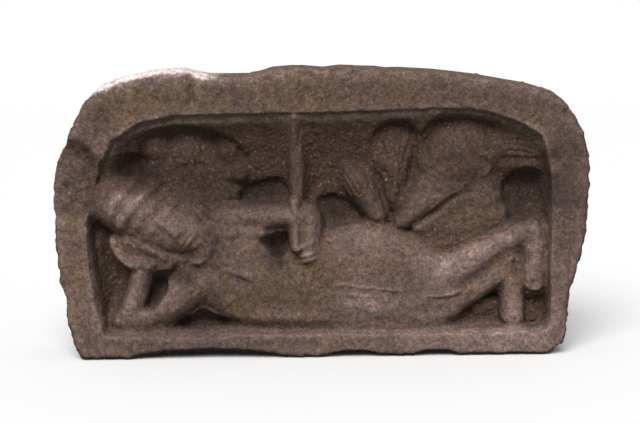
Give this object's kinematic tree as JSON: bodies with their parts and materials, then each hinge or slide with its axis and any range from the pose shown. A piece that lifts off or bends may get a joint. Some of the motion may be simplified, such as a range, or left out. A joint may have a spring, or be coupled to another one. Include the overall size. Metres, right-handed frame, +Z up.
{
  "type": "carved stone frieze",
  "caption": "Carved stone frieze panel: a reclining figure and an attendant in relief, in a sunk field inside a plain worn border with rounded upper corners.",
  "frame": {"origin": "middle of the panel's length and thickness, at the lowest point of its underside", "axes": "+X along the panel, to the right of someone who faces the carving; +Y into the stone, away from the viewer; +Z up"},
  "size_m": [0.8654, 0.15, 0.4709],
  "materials": {
    "stone": "matt brown sandstone, worn and pecked, with olive and ochre patina"
  },
  "bodies": {
    "root": {"carved_panel": "stone"}
  },
  "joints": []
}
